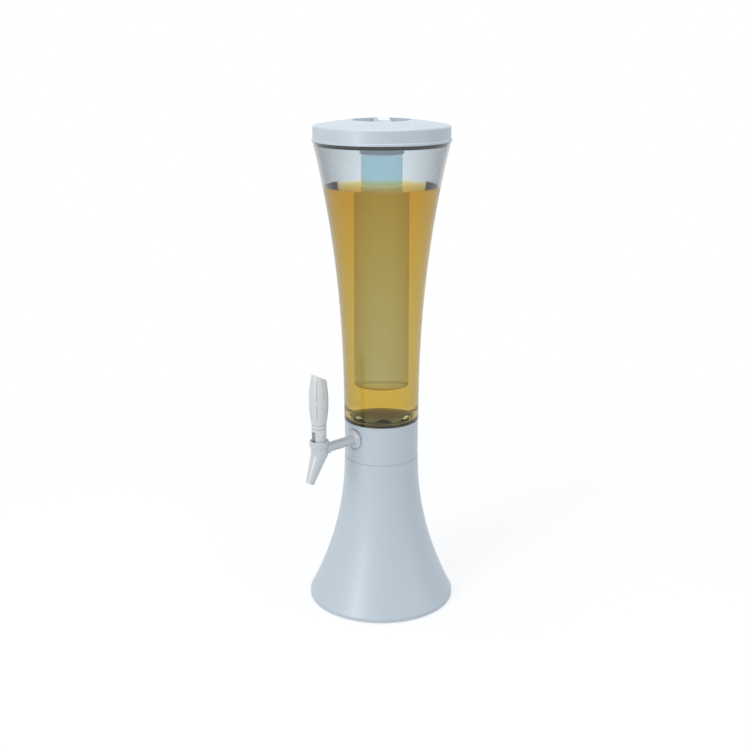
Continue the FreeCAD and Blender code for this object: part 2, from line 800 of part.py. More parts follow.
def cam_foot_cutter():
    """Everything under the handle's foot: flat, then an involute that lifts evenly as it rolls."""
    points = [vec(0, 3 * GRIP_RADIUS, -PIVOT_LIFT)]
    steps = 8
    curve_points = []
    for index in range(steps + 1):
        turn = math.radians(PULL_DEG) * index / steps
        reach = PIVOT_LIFT + CAM_RATE * turn
        out = reach * math.sin(turn) + CAM_RATE * math.cos(turn)
        up = CAM_RATE * math.sin(turn) - reach * math.cos(turn)
        curve_points.append(vec(0, -out, up))
    points.append(curve_points[0])
    involute = Part.BSplineCurve()
    involute.interpolate(curve_points)
    end = curve_points[-1]
    corners = [
        end,
        vec(0, -3 * GRIP_RADIUS, end.z + (3 * GRIP_RADIUS + end.y) * math.tan(math.radians(PULL_DEG))),
        vec(0, -3 * GRIP_RADIUS, -3 * PIVOT_LIFT),
        vec(0, 3 * GRIP_RADIUS, -3 * PIVOT_LIFT),
        points[0],
    ]
    edges = [Part.LineSegment(points[0], points[1]).toShape(), involute.toShape()]
    for start, stop in zip(corners, corners[1:]):
        edges.append(Part.LineSegment(start, stop).toShape())
    face = Part.Face(Part.Wire(edges))
    face.translate(vec(-GRIP_RADIUS, 0, pivot_z))
    return face.extrude(vec(2 * GRIP_RADIUS, 0, 0))


def flute_cutter(start, length):
    """Round groove tool that follows the grip's barrel curve, on its outward side."""
    centre_z = foot_z + GRIP_WIDEST
    centre_r = GRIP_RADIUS - GRIP_CURVE
    track = GRIP_CURVE + FLUTE_RADIUS - FLUTE_DEPTH
    low = math.asin((foot_z + start - centre_z) / track)
    high = math.asin((foot_z + start + length - centre_z) / track)
    middle = vec(0, -centre_r, centre_z)
    first = vec(0, -centre_r - track * math.cos(low), centre_z + track * math.sin(low))
    tangent = vec(0, math.sin(low), math.cos(low))
    section = Part.Face(Part.Wire(Part.Circle(first, tangent, FLUTE_RADIUS).toShape()))
    body = section.revolve(middle, vec(-1, 0, 0), math.degrees(high - low))
    last = vec(0, -centre_r - track * math.cos(high), centre_z + track * math.sin(high))
    return joined([body, Part.makeSphere(FLUTE_RADIUS, first), Part.makeSphere(FLUTE_RADIUS, last)])


def make_tap_handle():
    waist = foot_z + WAIST_HEIGHT
    waist_radius = NECK_BAR_RADIUS - WAIST_DEPTH
    band = waist + WAIST_LENGTH
    band_top = band + BAND_LENGTH
    grip_low = band_top + WAIST_LENGTH
    top = foot_z + HANDLE_LENGTH
    centre_z = foot_z + GRIP_WIDEST
    centre_r = GRIP_RADIUS - GRIP_CURVE
    low_deg = math.degrees(math.asin((grip_low - centre_z) / GRIP_CURVE))
    high_deg = math.degrees(math.asin((top - centre_z) / GRIP_CURVE))
    handle = turned(
        [
            (0, foot_z),
            (NECK_BAR_RADIUS, foot_z),
            (NECK_BAR_RADIUS, waist),
            (waist_radius, waist),
            (waist_radius, band),
            (NECK_BAR_RADIUS, band),
            (NECK_BAR_RADIUS, band_top),
            (waist_radius, band_top),
            (waist_radius, grip_low),
            arc((centre_r, centre_z), GRIP_CURVE, low_deg, high_deg),
            (0, top),
        ]
    )
    slant = Part.makeBox(4 * GRIP_RADIUS, 8 * GRIP_RADIUS, 4 * GRIP_RADIUS, vec(-2 * GRIP_RADIUS, 0, 0))
    slant.rotate(ORIGIN, vec(1, 0, 0), -TOP_SLANT_DEG)
    slant.translate(vec(0, -GRIP_RADIUS / 2, top))
    handle = handle.cut(slant)
    for start, length in zip(FLUTE_STARTS, FLUTE_LENGTHS):
        for cutter in spread(flute_cutter(start, length), FLUTE_COUNT):
            handle = handle.cut(cutter)
    handle = handle.cut(cam_foot_cutter())
    slot_low = foot_z - PIVOT_LIFT
    slot = Part.makeBox(
        FORK_SLOT,
        4 * GRIP_RADIUS,
        FORK_SLOT_HEIGHT + PIVOT_LIFT,
        vec(-FORK_SLOT / 2, -2 * GRIP_RADIUS, slot_low),
    )
    pin_hole = rod(PIN_RADIUS + RUNNING_GAP, vec(-PIN_LENGTH, 0, pivot_z), vec(PIN_LENGTH, 0, pivot_z))
    return at_tap(handle.cut(slot).cut(pin_hole))


def crown_arc(rise, radius, edge_z):
    """Radius and centre height of a dome that rises over an edge circle."""
    sphere = (radius * radius + rise * rise) / (2 * rise)
    return sphere, edge_z + rise - sphere


def make_lid_cap():
    shoulder_z = mouth_top + LID_SIDE
    edge_r = LID_RADIUS - LID_SHOULDER
    edge_z = shoulder_z + LID_SHOULDER
    sphere, centre_z = crown_arc(LID_CROWN, edge_r, edge_z)
    edge_deg = math.degrees(math.asin((edge_z - centre_z) / sphere))
    lip_r = LID_RADIUS + LID_LIP
    lip_top = mouth_top + LID_LIP_HEIGHT
    outside = [
        (0, mouth_top),
        (lip_r, mouth_top),
        (lip_r, lip_top),
        (LID_RADIUS, lip_top + LID_LIP),
        (LID_RADIUS, shoulder_z),
        arc((edge_r, shoulder_z), LID_SHOULDER, 0, 90),
        arc((0, centre_z), sphere, edge_deg, 90),
    ]
    cap = turned(outside)
    well_floor = edge_z + LID_CROWN - WELL_DEPTH
    well = ring(0, WELL_RADIUS, well_floor, edge_z + 2 * LID_CROWN)
    bar_half = BAR_WIDTH / 2
    bar_edge_z = centre_z + math.sqrt(sphere * sphere - WELL_RADIUS * WELL_RADIUS)
    bar_rise = edge_z + LID_CROWN + BAR_RISE - bar_edge_z
    bar_sphere, bar_centre = crown_arc(bar_rise, WELL_RADIUS, bar_edge_z)
    crown = Part.makeCylinder(bar_sphere, BAR_WIDTH, vec(-bar_half, 0, bar_centre), vec(1, 0, 0))
    bar = ring(0, WELL_RADIUS + SNUG_GAP, well_floor - LID_WALL, edge_z + 2 * LID_CROWN)
    bar_corner = vec(-bar_half, -2 * WELL_RADIUS, edge_z - WELL_DEPTH)
    bar = bar.common(Part.makeBox(BAR_WIDTH, 4 * WELL_RADIUS, 4 * WELL_DEPTH, bar_corner))
    bar = bar.common(crown)
    cap = cap.cut(well).fuse(bar)
    ledge = LINER_FLANGE_RADIUS + SNUG_GAP
    flange_top = mouth_top + LINER_FLANGE
    inner_wall = LID_RADIUS - LID_WALL
    inner_edge_z = edge_z - LID_WALL
    inner_sphere = sphere - LID_WALL
    start_r = WELL_RADIUS + LID_WALL
    inner_start = math.degrees(math.acos(start_r / inner_sphere))
    inner_end = math.degrees(math.acos((edge_r - LID_WALL) / inner_sphere))
    cavity = turned(
        [
            (0, mouth_top),
            (ledge, mouth_top),
            (ledge, flange_top),
            (inner_wall, flange_top),
            (inner_wall, inner_edge_z - LID_SHOULDER),
            arc((0, centre_z), inner_sphere, inner_end, inner_start),
            (start_r, well_floor - LID_WALL),
            (0, well_floor - LID_WALL),
        ]
    )
    cap = cap.cut(cavity).removeSplitter()
    cap.rotate(ORIGIN, UP, LID_TURN_DEG)
    return cap


def make_lid_liner():
    flange_top = mouth_top + LINER_FLANGE
    wall_inner = PLUG_RADIUS - LINER_THICKNESS
    return turned(
        [
            (0, liner_bottom),
            (PLUG_RADIUS, liner_bottom),
            (PLUG_RADIUS, mouth_top),
            (LINER_FLANGE_RADIUS, mouth_top),
            (LINER_FLANGE_RADIUS, flange_top),
            (wall_inner, flange_top),
            (wall_inner, liner_bottom + LINER_THICKNESS),
            (0, liner_bottom + LINER_THICKNESS),
        ]
    )


def make_lid_gasket():
    top = mouth_top - GASKET_DROP
    low = top - GASKET_HEIGHT
    gap = TANK_WALL + LOOSE_GAP
    return turned(
        [
            (PLUG_RADIUS, low),
            (tank_radius(low) - gap, low),
            (tank_radius(top) - gap, top),
            (PLUG_RADIUS, top),
        ]
    )


def tube_seal_z():
    return liner_bottom - TUBE_SEAL_DROP - TUBE_SEAL_SIZE


def make_tube_socket():
    inner = TUBE_RADIUS + LOOSE_GAP
    outer = inner + SOCKET_RING_WALL
    groove = inner + TUBE_SEAL_SIZE / 2
    seal_z = tube_seal_z()
    return turned(
        [
            (inner, liner_bottom - SOCKET_RING_HEIGHT),
            (outer, liner_bottom - SOCKET_RING_HEIGHT),
            (outer, liner_bottom),
            (inner, liner_bottom),
            (inner, seal_z + TUBE_SEAL_SIZE),
            (groove, seal_z + TUBE_SEAL_SIZE),
            (groove, seal_z),
            (inner, seal_z),
        ]
    )


def make_tube_seal():
    seal_z = tube_seal_z()
    outer = TUBE_RADIUS + LOOSE_GAP + TUBE_SEAL_SIZE / 2
    return ring(TUBE_RADIUS + RUNNING_GAP, outer, seal_z, seal_z + TUBE_SEAL_SIZE)


def make_ice_tube():
    top = liner_bottom - TUBE_TOP_GAP
    low = top - TUBE_LENGTH
    inner = TUBE_RADIUS - TUBE_WALL
    corner_z = low + TUBE_CORNER
    corner_r = TUBE_RADIUS - TUBE_CORNER
    return turned(
        [
            (0, low),
            arc((corner_r, corner_z), TUBE_CORNER, -90, 0),
            (TUBE_RADIUS, top),
            (inner, top),
            arc((corner_r, corner_z), TUBE_CORNER - TUBE_WALL, 0, -90),
            (0, low + TUBE_WALL),
        ]
    )


PIECES = {
    "base_shell": make_base_shell,
    "bottom_plate": make_bottom_plate,
    "foot_pad": make_foot_pad,
    "plate_screws": make_plate_screws,
    "lock_ring": make_lock_ring,
    "ring_screws": make_ring_screws,
    "collar": make_collar,
    "tank": make_tank,
    "tank_floor": make_tank_floor,
    "tank_gasket": make_tank_gasket,
    "ring_nut": make_ring_nut,
    "strainer": make_strainer,
    "drain_cup": make_drain_cup,
    "drain_seal": make_drain_seal,
    "shank": make_shank,
    "shank_seal": make_shank_seal,
    "shank_nut": make_shank_nut,
    "inner_washer": make_inner_washer,
    "rosette": make_rosette,
    "rosette_gasket": make_rosette_gasket,
    "tap_body": make_tap_body,
    "bonnet": make_bonnet,
    "seat_cup": make_seat_cup,
    "valve_spring": make_valve_spring,
    "valve_stem": make_valve_stem,
    "pivot_pin": make_pivot_pin,
    "tap_handle": make_tap_handle,
    "lid_cap": make_lid_cap,
    "lid_liner": make_lid_liner,
    "lid_gasket": make_lid_gasket,
    "tube_socket": make_tube_socket,
    "tube_seal": make_tube_seal,
    "ice_tube": make_ice_tube,
}

os.makedirs("parts", exist_ok=True)
for name, make in PIECES.items():
    make().exportStep(f"parts/{name}.step")
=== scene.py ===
import math

import bmesh
import bpy
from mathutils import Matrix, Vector


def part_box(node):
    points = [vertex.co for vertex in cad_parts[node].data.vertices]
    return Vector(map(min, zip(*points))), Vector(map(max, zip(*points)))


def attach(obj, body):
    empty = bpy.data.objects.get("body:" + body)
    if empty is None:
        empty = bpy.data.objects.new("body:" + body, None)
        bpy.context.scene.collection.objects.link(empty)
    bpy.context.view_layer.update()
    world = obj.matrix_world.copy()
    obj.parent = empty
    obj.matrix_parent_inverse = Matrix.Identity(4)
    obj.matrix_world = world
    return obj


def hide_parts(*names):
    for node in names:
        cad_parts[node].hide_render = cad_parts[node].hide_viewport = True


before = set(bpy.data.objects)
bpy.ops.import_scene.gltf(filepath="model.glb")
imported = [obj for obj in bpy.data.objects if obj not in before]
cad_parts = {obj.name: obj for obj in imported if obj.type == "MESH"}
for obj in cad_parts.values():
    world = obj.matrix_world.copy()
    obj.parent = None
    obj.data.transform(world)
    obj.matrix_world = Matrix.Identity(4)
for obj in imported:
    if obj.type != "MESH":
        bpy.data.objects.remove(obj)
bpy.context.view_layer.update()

# Base shell: the flared silvery foot, one moulded ABS shell that is open underneath.
# A pearl pigment in the plastic gives it a pale satin look with a soft, broad highlight.
# Its neck holds the lock ring, and four posts inside take the bottom plate's screws.


def linear(code):
    """Linear colour of an sRGB hex code."""
    shares = [int(code[place : place + 2], 16) / 255 for place in (1, 3, 5)]
    return [s / 12.92 if s <= 0.04045 else ((s + 0.055) / 1.055) ** 2.4 for s in shares] + [1.0]


def add(tree, kind, inputs=(), **named):
    """New node. Named values go to its settings or sockets; inputs are (socket, value or output)."""
    made = tree.nodes.new(kind)
    for name, value in named.items():
        label = name.replace("_", " ").lower()
        sockets = [s for s in made.inputs if s.name.lower() == label and s.enabled]
        if sockets:
            sockets[0].default_value = value
        else:
            setattr(made, name, value)
    for place, source in inputs:
        if isinstance(source, bpy.types.NodeSocket):
            tree.links.new(source, made.inputs[place])
        else:
            made.inputs[place].default_value = source
    return made


def new_material(name):
    """New material with its node tree and main shader."""
    made = bpy.data.materials.new(name)
    made.use_nodes = True
    return made, made.node_tree, made.node_tree.nodes["Principled BSDF"]


def moulded(name, code, grain_mm, tint_drift, rough, rough_drift, relief_mm, **sockets):
    """Moulded finish: colour and relief follow a fine grain, and gloss drifts over wider patches.

    The numbers are the grain's size, the share the colour drifts by, the roughness and its drift, and
    the height of the relief.
    """
    PATCH_GRAINS = 20
    made, tree, shader = new_material(name)
    place = add(tree, "ShaderNodeTexCoord").outputs["Object"]
    grain_scale = 1000 / grain_mm
    patch_scale = grain_scale / PATCH_GRAINS
    grain = add(tree, "ShaderNodeTexNoise", [("Vector", place)], Scale=grain_scale, Detail=3.0)
    patches = add(tree, "ShaderNodeTexNoise", [("Vector", place)], Scale=patch_scale, Detail=2.0)
    base = linear(code)[:3]
    dark = [part * (1 - tint_drift) for part in base] + [1.0]
    light = [min(1.0, part * (1 + tint_drift)) for part in base] + [1.0]
    share = ("Factor", grain.outputs["Fac"])
    tint = add(tree, "ShaderNodeMix", [share, (6, dark), (7, light)], data_type="RGBA")
    tree.links.new(tint.outputs[2], shader.inputs["Base Color"])
    gloss = add(
        tree,
        "ShaderNodeMapRange",
        [("Value", patches.outputs["Fac"])],
        To_Min=rough - rough_drift,
        To_Max=rough + rough_drift,
    )
    tree.links.new(gloss.outputs["Result"], shader.inputs["Roughness"])
    relief = add(tree, "ShaderNodeBump", [("Height", grain.outputs["Fac"])], Distance=relief_mm / 1000)
    tree.links.new(relief.outputs["Normal"], shader.inputs["Normal"])
    for label, value in sockets.items():
        shader.inputs[label.replace("_", " ")].default_value = value
    return made


def dress(made, *names):
    """Puts a material on CAD nodes."""
    for name in names:
        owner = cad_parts[name]
        if not owner.material_slots:
            owner.data.materials.append(made)
        for place in owner.material_slots:
            place.material = made


# The pearl flakes are about 0.05 mm on the real plastic; they are drawn at 0.8 mm so that they show.
pearl_abs = moulded(
    "pearl_silver_moulded_abs", "#C2CCD4", 0.8, 0.025, 0.42, 0.04, 0.004, Metallic=0.1, Coat_Weight=0.1
)
pearl_abs.node_tree.nodes["Principled BSDF"].inputs["Coat Roughness"].default_value = 0.25
dress(pearl_abs, "base_shell")

# Bottom plate and its four screws: a black moulded disc that closes the shell from below.
# The plate's moulded face is matt with a coarse spark-eroded texture.
# The screws are zinc-plated steel, driven up into the shell's posts, and bright with a faint bloom.
black_nylon = moulded("black_textured_nylon", "#2E3135", 0.7, 0.06, 0.55, 0.06, 0.02)
dress(black_nylon, "bottom_plate")
zinc_steel = moulded("zinc_plated_steel", "#B3B5B8", 0.25, 0.04, 0.32, 0.06, 0.003, Metallic=1.0)
dress(zinc_steel, "plate_screws", "ring_screws")

# Foot pad: a 2 mm disc of black rubber glued under the plate, so that the tower doesn't slide.
# It was cut from pressed sheet, so its face has a fine cloth-like grain and almost no gloss.
pressed_rubber = moulded("pressed_black_rubber", "#26282B", 0.9, 0.1, 0.72, 0.06, 0.03)
dress(pressed_rubber, "foot_pad")

# Lock ring: a grey polypropylene ring screwed into the neck, with tracks for the collar's lugs.
# Polypropylene moulds with a waxy, slightly mottled surface.
grey_pp = moulded("grey_moulded_polypropylene", "#868F97", 0.6, 0.04, 0.45, 0.05, 0.006)
dress(grey_pp, "lock_ring")

# Collar: the short silvery cylinder that twists onto the base and carries the tank and the tap.
# It is moulded from the same pearl ABS as the base, with a flat for the tap's flange.
dress(pearl_abs, "collar")

# Tank: the trumpet-shaped clear wall and the floor with its outlet, welded into one acrylic vessel.
# It is polished inside and out, so only its edges and the drink show it; handling leaves a faint haze.
# Faces under the drink's surface are left to the drink, which meets the acrylic with no air between.
collar_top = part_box("collar")[1].z * 1000
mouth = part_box("tank")[1].z * 1000
tank_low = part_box("tank")[0].z * 1000
TANK_FOOT_R = 50.65
TANK_MOUTH_R = 88.9
TANK_FLARE = 2.3
TANK_WALL = 3.0
FLOOR_THICKNESS = 3.0
FLOOR_CORNER = 5.0
OUTLET_R = 10.0
OUTLET_WALL = 3.0
RIM_ROUND = 0.6
RIM_STEPS = 4
CORNER_STEPS = 12
OUTSIDE_STEPS = 72
DRY_STEPS = 12
WET_STEPS = 60
SEAT_AIR = 0.1  # film of air between the tank and the collar
DRINK_LEVEL = 575.0
ACRYLIC_IOR = 1.49
ACRYLIC_HAZE = 0.03
floor_top = collar_top + FLOOR_THICKNESS
corner_top = floor_top + FLOOR_CORNER


def tank_r(z):
    """Outside radius of the tank at a height, in mm."""
    share = max(0.0, (z - collar_top) / (mouth - collar_top))
    return TANK_FOOT_R + (TANK_MOUTH_R - TANK_FOOT_R) * share**TANK_FLARE


corner_r = tank_r(corner_top) - TANK_WALL - FLOOR_CORNER


def steps(low, high, count):
    """Evenly spaced values from one end to the other."""
    return [low + (high - low) * index / count for index in range(count + 1)]


def round_run(centre_r, centre_z, radius, start_deg, end_deg, count):
    """Points of a round stretch of an outline."""
    turns = [math.radians(turn) for turn in steps(start_deg, end_deg, count)]
    return [(centre_r + radius * math.cos(turn), centre_z + radius * math.sin(turn)) for turn in turns]


def spun(name, outline, body):
    """Closed body spun about the tower's axis from (radius, height) points in mm."""
    SLICES = 256
    SHARP_DEG = 35
    work = bmesh.new()
    verts = [work.verts.new((radius / 1000, 0, height / 1000)) for radius, height in outline]
    pairs = list(zip(verts, verts[1:]))
    if outline[0][0] or outline[-1][0]:
        pairs.append((verts[-1], verts[0]))
    edges = [work.edges.new(pair) for pair in pairs]
    bmesh.ops.spin(
        work,
        geom=verts + edges,
        cent=(0, 0, 0),
        axis=(0, 0, 1),
        angle=2 * math.pi,
        steps=SLICES,
        use_merge=True,
    )
    bmesh.ops.remove_doubles(work, verts=work.verts, dist=1e-7)
    bmesh.ops.recalc_face_normals(work, faces=work.faces)
    mesh = bpy.data.meshes.new(name)
    work.to_mesh(mesh)
    work.free()
    mesh.polygons.foreach_set("use_smooth", [True] * len(mesh.polygons))
    mesh.set_sharp_from_angle(angle=math.radians(SHARP_DEG))
    made = bpy.data.objects.new(name, mesh)
    bpy.context.scene.collection.objects.link(made)
    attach(made, body)
    return made


def clear(name, code, ior, haze):
    """Polished clear plastic with a faint haze in patches of about 25 mm."""
    HAZE_PATCH_MM = 25
    made, tree, shader = new_material(name)
    shader.inputs["Base Color"].default_value = linear(code)
    shader.inputs["Transmission Weight"].default_value = 1.0
    shader.inputs["IOR"].default_value = ior
    place = add(tree, "ShaderNodeTexCoord").outputs["Object"]
    smears = add(tree, "ShaderNodeTexNoise", [("Vector", place)], Scale=1000 / HAZE_PATCH_MM, Detail=4.0)
    rough = add(tree, "ShaderNodeMapRange", [("Value", smears.outputs["Fac"])], To_Min=0.0, To_Max=haze)
    tree.links.new(rough.outputs["Result"], shader.inputs["Roughness"])
    return made


def wetted(name, code):
    """Face with liquid right behind it: the liquid's own skin does the bending of light."""
    made = bpy.data.materials.new(name)
    made.use_nodes = True
    tree = made.node_tree
    tree.nodes.remove(tree.nodes["Principled BSDF"])
    through = add(tree, "ShaderNodeBsdfTransparent", Color=linear(code))
    tree.links.new(through.outputs["BSDF"], tree.nodes["Material Output"].inputs["Surface"])
    return made


seat = collar_top + SEAT_AIR
rim = mouth - RIM_ROUND
outside_heights = steps(seat + RIM_ROUND / 2, rim, OUTSIDE_STEPS)
dry_heights = steps(DRINK_LEVEL, rim, DRY_STEPS)
wet_heights = steps(corner_top, DRINK_LEVEL, WET_STEPS)
tank_line = [(OUTLET_R, tank_low), (OUTLET_R + OUTLET_WALL, tank_low)]
tank_line += [(OUTLET_R + OUTLET_WALL, seat), (TANK_FOOT_R - RIM_ROUND / 2, seat)]
tank_line += [(tank_r(z), z) for z in outside_heights]
tank_line += round_run(TANK_MOUTH_R - RIM_ROUND, rim, RIM_ROUND, 0, 90, RIM_STEPS)[1:]
tank_line += round_run(TANK_MOUTH_R - TANK_WALL + RIM_ROUND, rim, RIM_ROUND, 90, 180, RIM_STEPS)
tank_line += [(tank_r(z) - TANK_WALL, z) for z in reversed(wet_heights[:-1] + dry_heights[:-1])]
tank_line += round_run(corner_r, corner_top, FLOOR_CORNER, 0, -90, CORNER_STEPS)[1:]
tank_line += [(OUTLET_R, floor_top)]
tank_wall = spun("tank_wall", tank_line, "tower")
# Where the wall turns away the eye crosses more acrylic; the darkening there is mostly painted shade.
ACRYLIC_TINT = "#ECF3F7"
ACRYLIC_PAINTED_EDGE_SHADE = "#5E6266"
clear_acrylic = clear("clear_moulded_acrylic", ACRYLIC_TINT, ACRYLIC_IOR, ACRYLIC_HAZE)
tree = clear_acrylic.node_tree
# Painted shade: the acrylic's colour darkens toward its grazing edges, standing in for the dark edges that
# refraction draws on a clear wall.
edge = ("Factor", add(tree, "ShaderNodeLayerWeight", Blend=0.5).outputs["Facing"])
colours = [(6, linear(ACRYLIC_TINT)), (7, linear(ACRYLIC_PAINTED_EDGE_SHADE))]
painted_edge_shade = add(tree, "ShaderNodeMix", [edge] + colours, data_type="RGBA")
tree.links.new(painted_edge_shade.outputs[2], tree.nodes["Principled BSDF"].inputs["Base Color"])
wet_acrylic = wetted("acrylic_under_the_drink", "#FFFFFF")
thick_acrylic = clear("clear_acrylic_of_the_thick_floor", "#F8FAFB", ACRYLIC_IOR, ACRYLIC_HAZE)
for made in (clear_acrylic, wet_acrylic, thick_acrylic):
    tank_wall.data.materials.append(made)
TOUCH = 0.01  # faces this close to a level count as on it
for face in tank_wall.data.polygons:
    middle = face.center * 1000
    reach = math.hypot(middle.x, middle.y)
    on_floor = middle.z > floor_top - TOUCH and reach < tank_r(middle.z) - TANK_WALL / 2
    in_outlet = reach < OUTLET_R + OUTLET_WALL / 2
    if (on_floor or in_outlet) and middle.z < DRINK_LEVEL:
        face.material_index = 1
    elif middle.z < floor_top:
        face.material_index = 2
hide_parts("tank", "tank_floor")

# Tank gasket and ring nut: a pale silicone washer in the collar's deck, and the grey nut under the
# deck that pulls the tank's outlet down on it. Silicone moulds matt, with light in its thin skin.
silicone = moulded("pale_silicone", "#D8D8D2", 0.6, 0.02, 0.5, 0.05, 0.004, Subsurface_Weight=0.1)
dress(silicone, "tank_gasket")
dress(grey_pp, "ring_nut")

# Strainer: the shallow dome on the tank's floor, which keeps ice and fruit out of the outlet.
# It is warm grey, smooth polypropylene with arches round its foot, and it lies loose on the floor.
strainer_pp = moulded("grey_strainer_polypropylene", "#9B9B8A", 0.6, 0.04, 0.3, 0.05, 0.004)
dress(strainer_pp, "strainer")

# Drain cup: black nylon elbow that takes the drink from the outlet to the shank.
# It is pushed over the outlet, and round seals of smooth black rubber close both of its joints.
soft_rubber = moulded(
    "moulded_black_rubber", "#14181E", 0.6, 0.06, 0.4, 0.05, 0.001, Specular_IOR_Level=0.3
)
dress(black_nylon, "drain_cup")
dress(soft_rubber, "drain_seal", "shank_seal")

# Shank and flange: the level pipe from the collar to the tap and the flared flange round it.
# Both are moulded ABS, painted in a silver that is a little warmer and glossier than the base.
# A washer and a nut inside the collar and a matt grey gasket outside clamp them to its wall.
silver_paint = moulded(
    "silver_painted_abs", "#C8CDD1", 0.7, 0.02, 0.32, 0.04, 0.003, Metallic=0.15, Coat_Weight=0.3
)
dress(silver_paint, "shank", "rosette")
dress(soft_rubber, "inner_washer")
grey_rubber = moulded("moulded_grey_rubber", "#737C84", 0.6, 0.05, 0.5, 0.05, 0.004)
dress(grey_rubber, "rosette_gasket")
dress(grey_pp, "shank_nut")

# Tap body and bonnet: the barrel with its leaning spout, and the threaded cap that closes it.
# They are moulded and painted like the shank.
dress(silver_paint, "tap_body", "bonnet")

# Valve: a soft silicone cup on a white acetal stem closes the port, pushed down by a steel spring.
# The cup and the stem are moulded; acetal is slightly waxy. The spring and the hinge pin are drawn
# stainless steel, with a fine bright grain.
natural_acetal = moulded("natural_acetal", "#D5D5CE", 0.4, 0.02, 0.4, 0.03, 0.002)
dress(natural_acetal, "valve_stem")
dress(silicone, "seat_cup")
spring_steel = moulded("drawn_stainless_steel", "#A6A8AB", 0.15, 0.06, 0.25, 0.06, 0.002, Metallic=1.0)
dress(spring_steel, "valve_spring", "pivot_pin")

# Handle: the off-white fluted lever, moulded in ABS with a slanted top.
# Two rows of finger grooves run along it. The moulded face is semi-gloss with a fine orange peel.
ivory_abs = moulded("off_white_moulded_abs", "#D6D9D8", 0.9, 0.015, 0.34, 0.04, 0.006)
dress(ivory_abs, "tap_handle")

# Lid: the domed cap with its finger recesses, and the liner that plugs the tank's mouth under it.
# Both are pearl ABS, snapped together at the rim. Inside the round well the cap's colour is painted
# paler: painted light, so that the shaded recess reads as bright as the lid's top.
dress(pearl_abs, "lid_liner")
WELL_R = 29.5
pearl_with_painted_well_light = moulded(
    "pearl_abs_with_painted_light_in_well", "#C2CCD4", 0.8, 0.025, 0.42, 0.04, 0.004, Metallic=0.1
)
tree = pearl_with_painted_well_light.node_tree
base_colour = tree.nodes["Principled BSDF"].inputs["Base Color"]
place = add(tree, "ShaderNodeTexCoord").outputs["Object"]
level_place = add(tree, "ShaderNodeVectorMath", [(0, place), (1, (1, 1, 0))], operation="MULTIPLY")
reach = add(tree, "ShaderNodeVectorMath", [(0, level_place.outputs[0])], operation="LENGTH")
# Painted light: within WELL_R of the axis the colour turns paler, so the well's shaded walls read bright.
edge = [(0, reach.outputs["Value"]), (1, WELL_R / 1000)]
painted_well_light_mask = ("Factor", add(tree, "ShaderNodeMath", edge, operation="LESS_THAN").outputs[0])
colours = [(6, base_colour.links[0].from_socket), (7, linear("#E3EAEF"))]
painted_well_light = add(tree, "ShaderNodeMix", [painted_well_light_mask] + colours, data_type="RGBA")
tree.links.new(painted_well_light.outputs[2], base_colour)
dress(pearl_with_painted_well_light, "lid_cap")

# Lid gasket: the dark soft ring that is squeezed between the liner and the tank's wall.
# Seen through the acrylic it looks blue-black, because it mirrors the pale room.
dress(soft_rubber, "lid_gasket")

# Tube socket and its seal: the grey ring under the liner that holds the ice tube.
# It is moulded in a waxy polypropylene, and a thin rubber ring in its groove grips the tube.
socket_pp = moulded("pale_grey_moulded_polypropylene", "#B4C2CE", 0.6, 0.03, 0.4, 0.05, 0.005)
dress(socket_pp, "tube_socket")
dress(soft_rubber, "tube_seal")

# Ice tube: a pale blue see-through tube with a closed foot, hung from the lid into the drink.
# It is blow-moulded from tinted plastic, a little cloudy, and its outside is wet below the level.
# Its rounded foot under the drink is tinted grey: painted shade for a thin dark line along its bottom.
tube_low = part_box("ice_tube")[0].z * 1000
tube_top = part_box("ice_tube")[1].z * 1000
tube_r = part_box("ice_tube")[1].x * 1000
TUBE_WALL = 2.0
TUBE_HAZE = 0.05
MILKINESS = 0.22
TUBE_CORNER = 2.5
TUBE_STEPS = 8
WATER_DROP = 6.0
ICE_WATER_TOP = tube_top - WATER_DROP
foot_r = tube_r - TUBE_CORNER
foot_z = tube_low + TUBE_CORNER


def tube_outside(skin):
    """Outline of the tube's outside, from the middle of its foot up to the drink's surface."""
    run = [(0, tube_low - skin)]
    run += round_run(foot_r, foot_z, TUBE_CORNER + skin, -90, 0, TUBE_STEPS)
    return run + [(tube_r + skin, z) for z in steps(foot_z, DRINK_LEVEL, TUBE_STEPS)[1:]]


def tube_inside(skin):
    """Outline of the tube's inside, from the ice water's surface down to the middle of its foot."""
    run = [(tube_r - TUBE_WALL - skin, ICE_WATER_TOP)]
    run += round_run(foot_r, foot_z, TUBE_CORNER - TUBE_WALL - skin, 0, -90, TUBE_STEPS)
    return run + [(0, tube_low + TUBE_WALL + skin)]


tube_line = tube_outside(0) + [(tube_r, tube_top), (tube_r - TUBE_WALL, tube_top)] + tube_inside(0)
tube_wall = spun("ice_tube_wall", tube_line, "chiller")
blue_plastic = clear("pale_blue_tinted_plastic", "#DDF6FF", ACRYLIC_IOR, TUBE_HAZE)
tree = blue_plastic.node_tree
plastic = tree.nodes["Principled BSDF"].outputs[0]
milk = add(tree, "ShaderNodeBsdfDiffuse", Color=linear("#95EDFF")).outputs[0]
cloudy = add(tree, "ShaderNodeMixShader", [(0, MILKINESS), (1, plastic), (2, milk)])
tree.links.new(cloudy.outputs[0], tree.nodes["Material Output"].inputs["Surface"])
wet_tube = wetted("blue_plastic_under_the_drink", "#E4E2E2")
inner_tube = wetted("blue_plastic_against_ice_water", "#FFFFFF")
